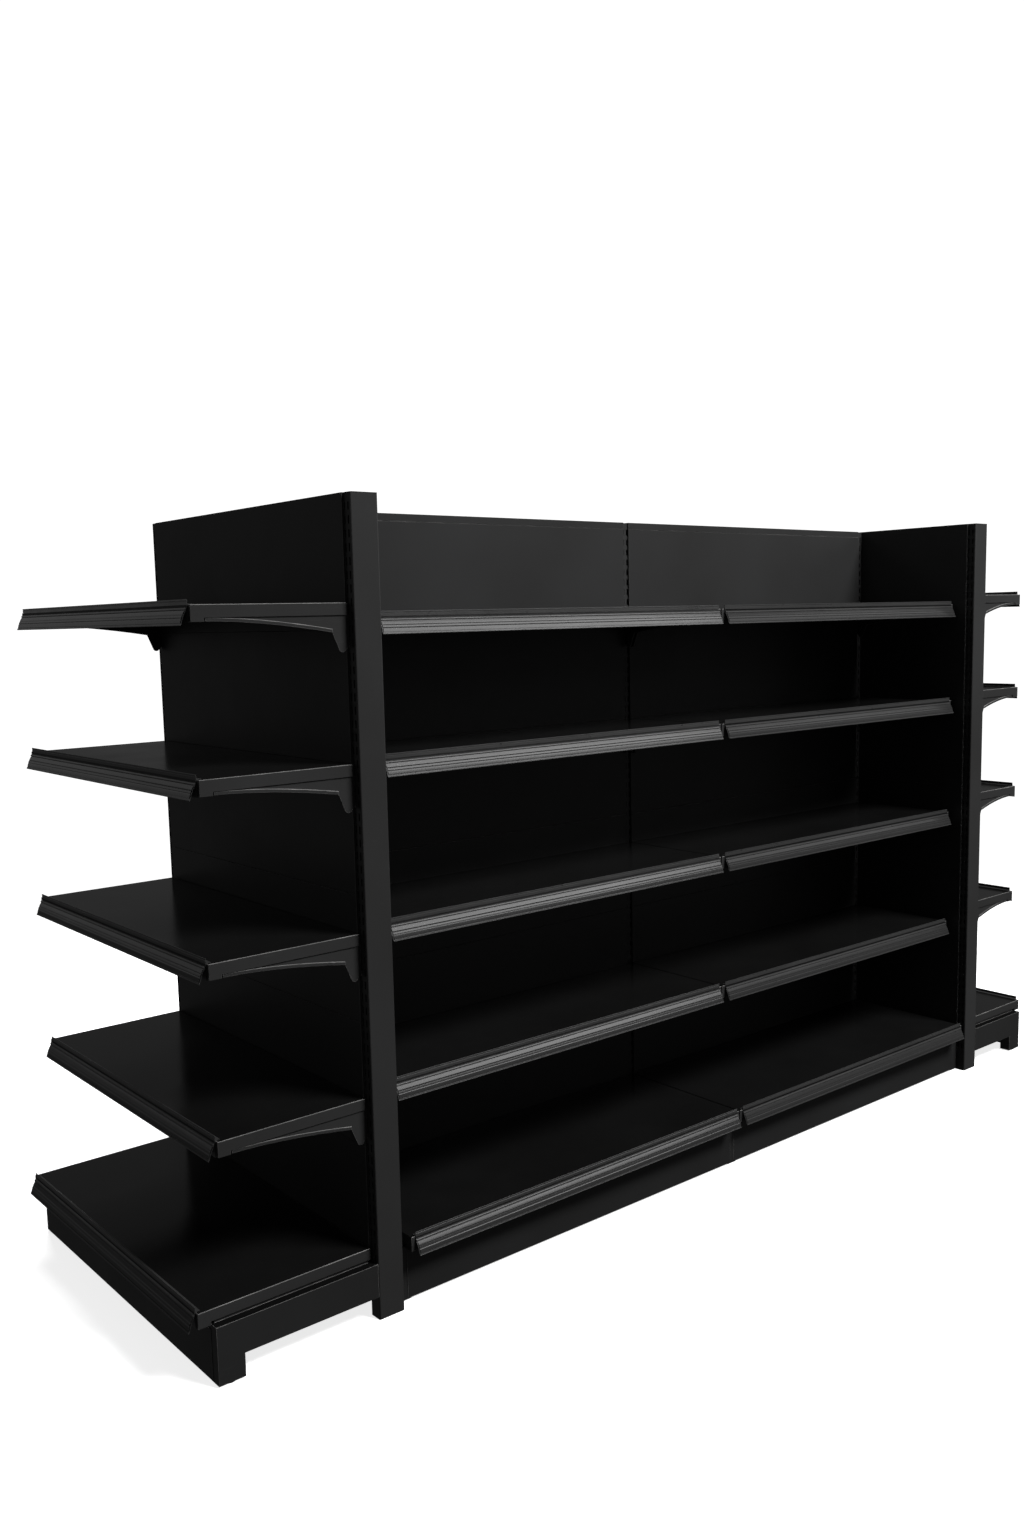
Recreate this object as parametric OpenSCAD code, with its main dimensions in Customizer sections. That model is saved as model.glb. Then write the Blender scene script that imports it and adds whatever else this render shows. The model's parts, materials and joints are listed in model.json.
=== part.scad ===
// Double-sided gondola shelving island: a run of two bays with a shelved end unit at each end.
// Millimetres. Origin on the floor under the run's centre upright, +X along the run, +Z up.
// Every shelved face is drawn with its goods side towards -Y, then turned into place.

/* [Unit] */
// Height of the island above the floor
unit_h = 1600; // [1600:250:2350]
// Pitch of the run's bays, from upright centre to upright centre
bay_w = 1000; // [700:50:1330]
// Pitch of an end unit, from upright centre to upright centre
end_bay_w = 800; // [700:50:1000]

/* [Uprights] */
// Thickness of every upright, across its slotted faces
post_w = 30; // [28:1:34]
// Depth of a run upright, between its two slotted faces
run_post_d = 80; // [70:5:100]
// Depth of an end upright, between its two slotted faces
end_post_d = 60; // [60:5:70]
// Wall of the upright tube
post_wall = 2; // [1.5:0.5:2.5]
// Width of a bracket slot
slot_w = 4.4; // [4:0.2:5]
// Length of a bracket slot
slot_h = 15; // [13:1:17]
// Distance between the two columns of slots on a face
slot_spread = 12; // [11:1:13]
// Radius of the tube's outer corners
post_r = 3; // [2.5:0.5:3.5]
// Thickness of the plastic cap on an upright
cap_t = 2; // [1:0.5:3]

/* [Back panels] */
// Height pitch of the back panels
panel_h = 250; // [125:125:250]
// Height of the lowest back panel's bottom edge
panel_z0 = 100; // [100:1:101]
// Sheet thickness of back panels and rails
panel_t = 1; // [0.8:0.1:1.5]
// How far a panel stands in front of its upright
panel_proud = 4; // [3:0.5:5]
// Distance from an upright's centre line to a panel's side edge
panel_edge = 9; // [8.8:0.1:10]
// Depth of the flange folded back along a panel's edges
panel_flange = 15; // [10:1:18]
// Dark gap between one panel and the next
panel_gap = 1; // [0.6:0.2:2]
// Height of the capping rail along the top of each bay
rail_h = 16; // [12:1:24]

/* [Shelf levels of the run] */
// Height of the base shelves' surface
level_0 = 145; // [145:1:147]
// Height of the first shelf's surface
level_1 = 450; // [400:25:500]
// Height of the second shelf's surface
level_2 = 775; // [725:25:825]
// Height of the third shelf's surface
level_3 = 1100; // [1050:25:1150]
// Height of the top shelf's surface
level_4 = 1375; // [1325:25:1425]

/* [Shelf levels of the left end] */
// Height of the first shelf's surface
left_level_1 = 450; // [400:25:500]
// Height of the second shelf's surface
left_level_2 = 775; // [725:25:825]
// Height of the third shelf's surface
left_level_3 = 1100; // [1050:25:1150]
// Height of the top shelf's surface
left_level_4 = 1400; // [1325:25:1425]

/* [Shelf levels of the right end] */
// Height of the first shelf's surface
right_level_1 = 500; // [400:25:500]
// Height of the second shelf's surface
right_level_2 = 825; // [725:25:825]
// Height of the third shelf's surface
right_level_3 = 1125; // [1050:25:1150]
// Height of the top shelf's surface
right_level_4 = 1400; // [1325:25:1425]

/* [Shelves] */
// Distance from a back panel to the front face of an upper shelf
upper_reach = 316; // [250:2:360]
// Distance from a back panel to the front face of a base shelf
base_reach = 372; // [372:2:380]
// How much shallower the right end unit is than the rest
right_cut = 100; // [0:10:100]
// Sheet thickness of a shelf
shelf_t = 1.2; // [1:0.1:1.5]
// Gap between two shelves side by side
shelf_gap = 4; // [3:0.5:5]
// Depth of the shelf's side and rear skirts
skirt_h = 23; // [18:1:23]
// Height of the folded front edge
fold_h = 30; // [28:1:32]
// Depth of the return under the front edge
fold_d = 25; // [20:1:25]
// Clearance behind a shelf
rear_gap = 2; // [1:0.5:4]

/* [Price strips] */
// Wall of the price strip
strip_t = 1.2; // [1:0.1:1.4]
// Height of the ridge above the shelf surface
ridge_h = 9; // [6:1:12]
// Depth of the lip that lies on the shelf surface
lip_d = 9; // [6:1:12]
// Drop from the shelf surface to the top of the strip's curved face
strip_top = 4; // [2:0.5:6]
// Drop from the shelf surface to the strip's lower edge
strip_drop = 36; // [34:0.5:37]
// How far the lower edge stands out from the top edge
strip_lean = 14; // [8:1:18]
// Outward bulge of the strip's curved face
strip_bulge = 2; // [1:0.5:4]
// Distance from a shelf's end to its price strip's end
strip_inset = 9; // [4:1:20]

/* [Brackets] */
// Plate thickness of a bracket
bracket_t = 3; // [2.5:0.5:3.5]
// Depth of the bracket's nose
nose_h = 28; // [27:1:29]
// Depth of the bracket arm where its heel lug starts
heel_h = 53; // [45:1:58]
// Depth of the bottom of the heel lug
lug_h = 90; // [84:1:96]
// Height of the rolled bead along the arm's lower edge
bead_h = 6; // [4:1:8]

/* [Base] */
// Depth of the base foot's side plates
foot_h = 68; // [60:1:72]
// Height of the top of a base foot
foot_top = 116; // [112:1:116]
// Distance from a back panel to the front of a base foot, behind the base shelf's front
foot_reach = 346; // [330:1:346]
// Length of the leg at the front of a base foot
leg_l = 55; // [45:1:70]
// Gap between the floor and the kick plate
kick_gap = 5; // [4:1:16]
// Height of the kick plate's top edge
kick_top = 106; // [104:1:107]
// Distance between the ends of two kick plates in a row
kick_end_gap = 13; // [10:1:16]
// Thickness of a levelling glide's pad
pad_h = 3; // [2:0.5:4]

/* [Hidden] */
$fn = 24;
fit_gap = 0.2;
slot_pitch = 25;
slot_z0 = 3 * slot_pitch;
slot_n = floor(unit_h / slot_pitch) - 3;
run_half = run_post_d / 2;
end_half = end_post_d / 2;
end_x = bay_w + post_w / 2 + panel_proud + end_half;
end_w = end_bay_w / 2;
panel_n = floor((unit_h - panel_z0) / panel_h);
tie_z = [120, 810, unit_h - 60];
tie_h = 40;
tie_d = 30;
tie_wall = 2;
bolt_z = [tie_z[0] + tie_h / 2, tie_z[2] + tie_h / 2];
bolt_d = 8;
bolt_hole_d = 9;
bolt_head_t = 5.3;
nut_af = 13;
nut_t = 6.5;
washer_d = 16;
clip_t = 1.2;
clip_d = 22;
clip_z = [60, 100];
kick_fold = 12;
rib_clear = 8;
glide_bore_d = 8.4;
stud_l = 36;
floor_plate = 3;
cap_plug_h = 10;
cap_plug_t = 2;
hook_rows = [25, 75];
hook_h = 8;
hook_lip_t = 3;
hook_lip_drop = 6;
heel_reach = 33;
lug_r = 8;
lug_reach = 12;
bead_t = 1.4;
bracket_clear = 9;
lip_up = 8;
hook_d = 6;
run_levels = [level_1, level_2, level_3, level_4];
left_levels = [left_level_1, left_level_2, left_level_3, left_level_4];
right_levels = [right_level_1, right_level_2, right_level_3, right_level_4];
coat_black = [0.075, 0.075, 0.08];
coat_panel = [0.09, 0.09, 0.095];
coat_strip = [0.2, 0.2, 0.21];
plastic_black = [0.05, 0.05, 0.055];
zinc = [0.62, 0.63, 0.65];

// ---- places: each turns a face drawn towards -Y, centred on its bay, into the island ----

module front_left() translate([-bay_w / 2, 0, 0]) children();
module front_right() translate([bay_w / 2, 0, 0]) children();
module rear_left() rotate(180) front_right() children();
module rear_right() rotate(180) front_left() children();
module left_end() translate([-end_x, 0, 0]) rotate(-90) children();
module left_inner() translate([-end_x, 0, 0]) rotate(90) children();
module right_end() translate([end_x, 0, 0]) rotate(90) children();
module right_inner() translate([end_x, 0, 0]) rotate(-90) children();
module both_sides() for (turn = [0, 180]) rotate(turn) children();
module run_bays() for (x = [-1, 1]) translate([x * bay_w / 2, 0, 0]) children();
module run_centres() for (x = [-1, 0, 1]) translate([x * bay_w, 0, 0]) children();
module end_centres()
  for (x = [-1, 1], y = [-1, 1]) translate([x * end_x, y * end_w, 0]) rotate(90) children();

// A block given by two opposite corners
module block(a, b) translate(a) cube(b - a);

// ---- uprights ----

// A w by d column from height z0 to z1, with its four vertical edges rounded
module rounded_column(w, d, z0, z1, r) translate([0, 0, z0]) linear_extrude(z1 - z0) {
  square([w - 2 * r, d], center = true);
  square([w, d - 2 * r], center = true);
  for (x = [-1, 1], y = [-1, 1]) translate([x * (w / 2 - r), y * (d / 2 - r)]) circle(r);
}

// Slotted tube standing on the floor; its slotted faces look towards -Y and +Y
module upright(depth, height, side_bolts = false) {
  difference() {
    rounded_column(post_w, depth, 0, height, post_r);
    block([-post_w / 2 + post_wall, -depth / 2 + post_wall, floor_plate],
          [post_w / 2 - post_wall, depth / 2 - post_wall, height + 1]);
    for (x = [-1, 1], i = [0 : slot_n - 1])
      translate([x * slot_spread / 2 - slot_w / 2, -depth / 2 - 1, slot_z0 + i * slot_pitch - slot_h / 2])
        cube([slot_w, depth + 2, slot_h]);
    if (side_bolts)
      for (z = bolt_z) translate([0, 0, z]) rotate([0, 90, 0]) cylinder(d = bolt_hole_d, h = post_w);
  }
}

module run_upright() color(coat_black) upright(run_post_d, unit_h - panel_t - cap_t);

// An outermost run upright, drilled on its +X wall for the bolts that hold the end unit
module run_end_upright() color(coat_black) upright(run_post_d, unit_h - panel_t - cap_t, true);

module end_upright() color(coat_black) upright(end_post_d, unit_h - cap_t);

// Plate over the tube's top, with a plug that sits inside the walls
module upright_cap(depth, top) {
  plug = [post_w / 2, depth / 2, 0] - [1, 1, 0] * (post_wall + fit_gap);
  core = plug - [1, 1, 0] * cap_plug_t;
  seat = [0, 0, top - cap_t];
  rounded_column(post_w, depth, top - cap_t, top, post_r);
  difference() {
    block(seat - plug - [0, 0, cap_plug_h], seat + plug);
    block(seat - core - [0, 0, cap_plug_h + 1], seat + core);
  }
}

module upright_caps() color(plastic_black) {
  run_centres() upright_cap(run_post_d, unit_h - panel_t);
  end_centres() upright_cap(end_post_d, unit_h);
}

// ---- frame between the uprights ----

// Rectangular tube spanning from one upright to the next, with holes for the joining bolts
module tie_bar(span, z, bolted) {
  reach = span / 2 - post_w / 2;
  difference() {
    block([-reach, -tie_d / 2, z], [reach, tie_d / 2, z + tie_h]);
    block([-reach - 1, -tie_d / 2 + tie_wall, z + tie_wall],
          [reach + 1, tie_d / 2 - tie_wall, z + tie_h - tie_wall]);
    if (bolted)
      translate([0, 0, z + tie_h / 2]) rotate([90, 0, 0]) cylinder(d = bolt_hole_d, h = tie_d);
  }
}

module tie_bars() color(coat_black) {
  for (z = tie_z) run_bays() tie_bar(bay_w, z, false);
  for (z = tie_z) left_inner() tie_bar(end_bay_w, z, z != tie_z[1]);
  for (z = tie_z) right_inner() tie_bar(end_bay_w, z, z != tie_z[1]);
}

// Hexagon bolt, nut and spacer that tie a run's outermost upright to the end unit's tie bar.
// Drawn along -Y from the tie bar's centre line towards the run.
module joining_bolt() {
  head_y = -(end_half + panel_proud + post_wall);
  spacer_y = -(end_half + panel_proud - panel_t);
  rotate([90, 0, 0]) {
    translate([0, 0, -head_y]) cylinder(d = nut_af / cos(30), h = bolt_head_t, $fn = 6);
    translate([0, 0, 3]) cylinder(d = bolt_d, h = -head_y - 3);
    translate([0, 0, tie_d / 2 - tie_wall - nut_t]) difference() {
      cylinder(d = nut_af / cos(30), h = nut_t, $fn = 6);
      translate([0, 0, -1]) cylinder(d = bolt_d + 0.1, h = nut_t + 2);
    }
    translate([0, 0, tie_d / 2]) difference() {
      cylinder(d = washer_d, h = -spacer_y - tie_d / 2);
      translate([0, 0, -1]) cylinder(d = bolt_d + 0.6, h = -spacer_y + 1);
    }
  }
}

module joining_bolts() color(zinc) for (z = bolt_z) {
  left_inner() translate([0, 0, z]) joining_bolt();
  right_inner() translate([0, 0, z]) joining_bolt();
}

// ---- back panels and capping rails ----

// Tray of folded sheet: a flat face, side lips against the uprights, flanges at the top and bottom
module back_panel(span, half_d, z, h, top_flange, bolt_holes) {
  face = half_d + panel_proud;
  edge = span / 2 - panel_edge;
  inner = span / 2 - post_w / 2 - 1;
  difference() {
    union() {
      block([-edge, -face, z], [edge, -face + panel_t, z + h]);
      for (s = [0, 1]) mirror([s, 0, 0]) block([edge - panel_t, -face, z], [edge, -half_d, z + h]);
      block([-inner, -face, z], [inner, -face + panel_flange, z + panel_t]);
      block([-inner, -face, z + h - panel_t], [inner, -face + top_flange, z + h]);
    }
    if (bolt_holes)
      for (zb = bolt_z) translate([0, 0, zb]) rotate([90, 0, 0]) cylinder(d = bolt_hole_d, h = face + 1);
  }
}

// A bay's stack of panels; the top one is shortened by top_cut and closes the frame with its top flange
module panel_stack(span, half_d, top_cut, top_flange, bolt_holes = false) {
  for (i = [0 : panel_n - 1]) {
    last = i == panel_n - 1;
    bottom = i == 0 ? foot_top + panel_gap : panel_z0 + i * panel_h;
    top = last ? unit_h - top_cut : panel_z0 + (i + 1) * panel_h - panel_gap;
    back_panel(span, half_d, bottom, top - bottom, last ? top_flange : panel_flange, bolt_holes);
  }
}

module run_panels() color(coat_panel)
  run_bays() panel_stack(bay_w, run_half, rail_h + panel_gap, panel_flange);

module end_panels(bolt_holes) color(coat_panel)
  panel_stack(end_bay_w, end_half, 0, end_half + panel_proud - 1, bolt_holes);

// Inverted channel that closes the top of a bay and rests on the upright caps
module top_rail() {
  edge = bay_w / 2 - panel_edge;
  face = run_half + panel_proud;
  block([-edge, -face, unit_h - panel_t], [edge, face, unit_h]);
  both_sides() block([-edge, -face, unit_h - rail_h], [edge, -face + panel_t, unit_h]);
}

module top_rails() color(coat_panel) run_bays() top_rail();

// ---- hooks shared by brackets and feet ----

// Hook through the slot row centred at z: a tongue on the slot's lower edge and a lip behind it
module slot_hook(half_d, z) {
  x = bracket_t / 2;
  seat = z - slot_h / 2 + fit_gap;
  lip = -half_d + post_wall + 2 * fit_gap;
  block([-x, -half_d - 1, seat], [x, lip + hook_lip_t, seat + hook_h]);
  block([-x, lip, seat - hook_lip_drop], [x, lip + hook_lip_t, seat + hook_h]);
}

// ---- shelf brackets ----

// Lower edge of the arm from the nose (t = 0) to the heel (t = 1): [distance out, height]
function arm_edge(t, nose) =
  [pow(1 - t, 2) * nose + 2 * t * (1 - t) * nose * 0.62 + t * t * heel_reach,
   -pow(1 - t, 2) * nose_h - 2 * t * (1 - t) * (nose_h + 1) - t * t * heel_h];

// Side profile of the bracket plate: the arm, and a heel lug with a rounded tip
module bracket_outline(nose) {
  tip = [lug_reach, lug_r - lug_h];
  back = 1 - panel_proud;
  polygon(concat(
    [[back, 0], [nose, 0]],
    [for (i = [0 : 16]) arm_edge(i / 16, nose)],
    [for (a = [-30 : -15 : -150]) tip + lug_r * [cos(a), sin(a)]],
    [[back, tip[1] + lug_r / 2]]));
}

// Rolled bead along the arm's lower edge
module bracket_bead(nose) {
  polygon(concat(
    [for (i = [0 : 16]) arm_edge(i / 16, nose)],
    [for (i = [16 : -1 : 0]) arm_edge(i / 16, nose) + [0, bead_h]]));
}

// Turns a profile of [distance out, height] into a plate t thick that starts at x
module side_plate(x, t)
  translate([x, 0, 0]) rotate([90, 0, 90]) mirror([1, 0, 0]) linear_extrude(t) children();

// One bracket hooked on a slot column beside the upright's centre; side is -1 or 1
module bracket(span, half_d, level, side, cut) {
  nose = upper_reach - cut - fold_d - 3;
  x = bracket_t / 2;
  translate([side * (span / 2 - slot_spread / 2), 0, 0]) {
    translate([0, -half_d - panel_proud, level - shelf_t]) {
      side_plate(-x, bracket_t) bracket_outline(nose);
      side_plate(side > 0 ? x : -x - bead_t, bead_t) bracket_bead(nose);
    }
    for (row = hook_rows) slot_hook(half_d, level - row);
  }
}

module bracket_set(span, half_d, levels, cut) color(coat_black)
  for (level = levels, side = [-1, 1]) bracket(span, half_d, level, side, cut);

module run_brackets() run_bays() bracket_set(bay_w, run_half, run_levels, 0);
module end_brackets(levels, cut) bracket_set(end_bay_w, end_half, levels, cut);

// ---- shelves ----

// Shelf tray of folded sheet: skirts at the sides and rear, and a C-shaped front edge whose ends are
// closed by tabs. The rear skirt stops short of the brackets and the front edge's upturned lip stops
// short of the side skirts.
module shelf_tray(w, reach, face) {
  rear = -face - rear_gap;
  front = -face - reach;
  half = w / 2;
  skirt = half - bracket_clear - bracket_t;
  block([-half, front, -shelf_t], [half, rear, 0]);
  block([-skirt, rear - shelf_t, -skirt_h], [skirt, rear, 0]);
  for (s = [0, 1]) mirror([s, 0, 0]) block([half - shelf_t, front, -skirt_h], [half, rear, 0]);
  block([-half, front, -fold_h], [half, front + shelf_t, 0]);
  block([-half, front, -fold_h], [half, front + fold_d, -fold_h + shelf_t]);
  block([-skirt, front + fold_d - shelf_t, -fold_h], [skirt, front + fold_d, -fold_h + lip_up]);
  for (s = [0, 1]) mirror([s, 0, 0])
    block([half - shelf_t, front, -fold_h], [half, front + fold_d, -skirt_h]);
}

// Curved face of the price strip as [distance out, height], from t = 0 at the top to 1 at the bottom
function strip_face(t) =
  [2 + strip_lean * t + strip_bulge * sin(180 * t), -strip_top - (strip_drop - strip_top) * t];

// Section of the clip-on price strip: a lip on the shelf, a ridge, a back plate with a hook under the
// shelf's front fold, and the curved face that stands in front of it
module strip_section() {
  back = fit_gap;
  plate = fit_gap + strip_t;
  hook = -fold_h - fit_gap;
  polygon(concat(
    [[-lip_d, fit_gap], [back, fit_gap], [back, hook], [-hook_d, hook], [-hook_d, hook - strip_t],
     [plate, hook - strip_t], [plate, strip_face(1 / 8)[1]]],
    [for (i = [1 : 8]) strip_face(i / 8) - [strip_t, 0]],
    [for (i = [8 : -1 : 0]) strip_face(i / 8)],
    [[plate, -strip_top], [plate, ridge_h], [back, ridge_h], [back, fit_gap + strip_t],
     [-lip_d, fit_gap + strip_t]]));
}

module price_strip(w, reach, face) {
  length = w - 2 * strip_inset;
  translate([0, -face - reach, 0]) side_plate(-length / 2, length) strip_section();
}

// A shelf with its price strip clipped over the front edge
module shelf(span, half_d, reach, level) {
  w = span - shelf_gap;
  face = half_d + panel_proud;
  translate([0, 0, level]) {
    color(coat_black) shelf_tray(w, reach, face);
    color(coat_strip) price_strip(w, reach, face);
  }
}

module run_shelf(level) shelf(bay_w, run_half, upper_reach, level);
module end_shelf(level, cut) shelf(end_bay_w, end_half, upper_reach - cut, level);
module run_base_shelf() shelf(bay_w, run_half, base_reach, level_0);
module end_base_shelf(cut) shelf(end_bay_w, end_half, base_reach - cut, level_0);

// ---- base ----

// Folded foot hooked on an upright: a channel open below, a front leg with a nut for its glide,
// and a rib on each side that has a base shelf to carry: -1, 1 or both
module base_foot(half_d, cut, sides) {
  side = post_w / 2;
  wall = post_wall;
  face = half_d + panel_proud;
  front = -face - foot_reach + cut;
  bottom = foot_top - foot_h;
  leg_y = front + leg_l / 2;
  difference() {
    union() {
      block([-side, front, bottom], [side, -half_d, foot_top]);
      block([-side, front, pad_h], [side, front + leg_l, foot_top]);
    }
    block([-side + wall, front + wall, pad_h + floor_plate],
          [side - wall, front + leg_l - wall, foot_top - wall]);
    block([-side + wall, front + leg_l, 0], [side - wall, -half_d - wall, foot_top - wall]);
    translate([0, leg_y, 0]) cylinder(d = glide_bore_d, h = pad_h + floor_plate + 1);
  }
  translate([0, leg_y, pad_h + floor_plate]) difference() {
    cylinder(d = washer_d, h = nut_t);
    translate([0, 0, -1]) cylinder(d = glide_bore_d, h = nut_t + 2);
  }
  for (x = sides * slot_spread / 2)
    block([x - bracket_t / 2, -face - base_reach + cut + fold_d + rib_clear, foot_top],
          [x + bracket_t / 2, -face - rib_clear, level_0 - shelf_t]);
  for (x = [-1, 1] * slot_spread / 2, row = [0, 1])
    translate([x, 0, 0]) slot_hook(half_d, slot_z0 + row * slot_pitch);
}

module run_feet() color(coat_black) both_sides() for (x = [-1, 0, 1])
  translate([x * bay_w, 0, 0]) base_foot(run_half, 0, [for (s = [-1, 1]) if (s != x) s]);

module end_feet() color(coat_black) for (s = [-1, 1]) {
  left_end() translate([s * end_w, 0, 0]) base_foot(end_half, 0, [-s]);
  right_end() translate([s * end_w, 0, 0]) base_foot(end_half, right_cut, [-s]);
}

// Screw-in levelling glide: a pad on the floor and its threaded stud, drawn under one foot
module glide(half_d, cut) translate([0, -half_d - panel_proud - foot_reach + cut + leg_l / 2, 0]) {
  cylinder(d = post_w - 4, h = pad_h);
  cylinder(d = bolt_d, h = stud_l);
}

module levelling_glides() color(plastic_black) {
  both_sides() run_centres() glide(run_half, 0);
  left_end() for (x = [-1, 1] * end_w) translate([x, 0, 0]) glide(end_half, 0);
  right_end() for (x = [-1, 1] * end_w) translate([x, 0, 0]) glide(end_half, right_cut);
}

// Kick plate in front of the feet, folded at its edges, with two clips that slide in between the feet
module kick_plate(span, half_d, cut) {
  back = -half_d - panel_proud - foot_reach + cut - fit_gap;
  half = (span - kick_end_gap) / 2;
  inner = span / 2 - post_w / 2 - 1;
  block([-half, back - panel_t, kick_gap], [half, back, kick_top]);
  for (z = [kick_gap, kick_top - panel_t])
    block([-inner, back - panel_t, z], [inner, back + kick_fold, z + panel_t]);
  for (s = [0, 1]) mirror([s, 0, 0])
    block([inner - clip_t, back - panel_t, clip_z[0]], [inner, back + clip_d, clip_z[1]]);
}

module run_kick_plate() color(coat_black) kick_plate(bay_w, run_half, 0);
module end_kick_plate(cut) color(coat_black) kick_plate(end_bay_w, end_half, cut);

translate([-bay_w, 0, 0]) rotate(180) run_end_upright();  // upright_run_left
run_upright();  // upright_run_centre
translate([bay_w, 0, 0]) run_end_upright();  // upright_run_right
translate([-end_x, -end_w, 0]) rotate(90) end_upright();  // upright_left_front
translate([-end_x, end_w, 0]) rotate(90) end_upright();  // upright_left_rear
translate([end_x, -end_w, 0]) rotate(90) end_upright();  // upright_right_front
translate([end_x, end_w, 0]) rotate(90) end_upright();  // upright_right_rear
upright_caps();
tie_bars();
joining_bolts();
top_rails();
run_panels();  // back_panels_front
rotate(180) run_panels();  // back_panels_rear
left_end() end_panels(false);  // back_panels_left_outer
left_inner() end_panels(true);  // back_panels_left_inner
right_end() end_panels(false);  // back_panels_right_outer
right_inner() end_panels(true);  // back_panels_right_inner
run_feet();  // base_feet_run
end_feet();  // base_feet_ends
levelling_glides();
front_left() run_kick_plate();  // kick_plate_front_left
front_right() run_kick_plate();  // kick_plate_front_right
rear_left() run_kick_plate();  // kick_plate_rear_left
rear_right() run_kick_plate();  // kick_plate_rear_right
left_end() end_kick_plate(0);  // kick_plate_left_end
right_end() end_kick_plate(right_cut);  // kick_plate_right_end
run_brackets();  // brackets_front
rotate(180) run_brackets();  // brackets_rear
left_end() end_brackets(left_levels, 0);  // brackets_left_end
right_end() end_brackets(right_levels, right_cut);  // brackets_right_end
front_left() run_base_shelf();  // base_shelf_front_left
front_right() run_base_shelf();  // base_shelf_front_right
rear_left() run_base_shelf();  // base_shelf_rear_left
rear_right() run_base_shelf();  // base_shelf_rear_right
left_end() end_base_shelf(0);  // base_shelf_left_end
right_end() end_base_shelf(right_cut);  // base_shelf_right_end
front_left() run_shelf(level_1);  // shelf_front_left_1
front_left() run_shelf(level_2);  // shelf_front_left_2
front_left() run_shelf(level_3);  // shelf_front_left_3
front_left() run_shelf(level_4);  // shelf_front_left_4
front_right() run_shelf(level_1);  // shelf_front_right_1
front_right() run_shelf(level_2);  // shelf_front_right_2
front_right() run_shelf(level_3);  // shelf_front_right_3
front_right() run_shelf(level_4);  // shelf_front_right_4
rear_left() run_shelf(level_1);  // shelf_rear_left_1
rear_left() run_shelf(level_2);  // shelf_rear_left_2
rear_left() run_shelf(level_3);  // shelf_rear_left_3
rear_left() run_shelf(level_4);  // shelf_rear_left_4
rear_right() run_shelf(level_1);  // shelf_rear_right_1
rear_right() run_shelf(level_2);  // shelf_rear_right_2
rear_right() run_shelf(level_3);  // shelf_rear_right_3
rear_right() run_shelf(level_4);  // shelf_rear_right_4
left_end() end_shelf(left_level_1, 0);  // shelf_left_end_1
left_end() end_shelf(left_level_2, 0);  // shelf_left_end_2
left_end() end_shelf(left_level_3, 0);  // shelf_left_end_3
left_end() end_shelf(left_level_4, 0);  // shelf_left_end_4
right_end() end_shelf(right_level_1, right_cut);  // shelf_right_end_1
right_end() end_shelf(right_level_2, right_cut);  // shelf_right_end_2
right_end() end_shelf(right_level_3, right_cut);  // shelf_right_end_3
right_end() end_shelf(right_level_4, right_cut);  // shelf_right_end_4
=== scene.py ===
"""Looks of the black gondola shelving island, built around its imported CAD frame, in metres."""
import bmesh
import bpy
import json
import math
from mathutils import Matrix, Vector


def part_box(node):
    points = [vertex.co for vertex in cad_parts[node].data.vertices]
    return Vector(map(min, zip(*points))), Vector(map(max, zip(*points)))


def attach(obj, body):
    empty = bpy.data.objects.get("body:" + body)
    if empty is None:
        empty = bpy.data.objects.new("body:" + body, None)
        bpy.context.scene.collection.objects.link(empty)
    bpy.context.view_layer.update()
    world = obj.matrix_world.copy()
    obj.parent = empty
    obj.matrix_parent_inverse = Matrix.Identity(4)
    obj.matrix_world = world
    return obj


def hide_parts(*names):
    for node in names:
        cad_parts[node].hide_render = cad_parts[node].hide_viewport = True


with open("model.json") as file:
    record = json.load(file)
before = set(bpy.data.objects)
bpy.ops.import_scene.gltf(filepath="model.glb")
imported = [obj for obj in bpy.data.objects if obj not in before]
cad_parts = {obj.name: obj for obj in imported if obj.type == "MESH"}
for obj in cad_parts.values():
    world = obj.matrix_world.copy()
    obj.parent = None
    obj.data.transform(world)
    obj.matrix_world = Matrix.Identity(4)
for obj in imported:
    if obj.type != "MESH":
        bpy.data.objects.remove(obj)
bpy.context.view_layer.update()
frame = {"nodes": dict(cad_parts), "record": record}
NODES = frame["nodes"]
SLOT_OF = {s["node"]: s["material_slot"] for s in frame["record"]["subparts"]}
MM = 0.001
WELD = 0.01 * MM            # vertices closer than this are one
FLAT = math.radians(0.5)    # faces that meet at less than this are one flat

# ---- the part's own sizes that the looks need ----
FIT_GAP = 0.2 * MM          # play between a shelf and its price strip
STRIP_T = 1.2 * MM          # wall of the price strip
RIDGE_H = 9 * MM            # price strip ridge above the shelf surface
LIP_D = 9 * MM              # depth of the strip's lip on the shelf surface
HOOK_D = 6 * MM             # depth of the strip's hook under the shelf's front
STRIP_TOP = 4 * MM          # shelf surface down to the top of the strip's face
STRIP_DROP = 36 * MM        # shelf surface down to the strip's lower edge
STRIP_START = 2 * MM        # how far the top of the strip's face stands in front of the shelf
STRIP_LEAN = 14 * MM        # how much further its lower edge stands out
STRIP_BULGE = 2 * MM        # outward bulge of the face
STRIP_INSET = 9 * MM        # shelf end to strip end
FOLD_H = 30 * MM            # depth of the shelf's folded front


# ---------------------------------------------------------------- materials

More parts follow.
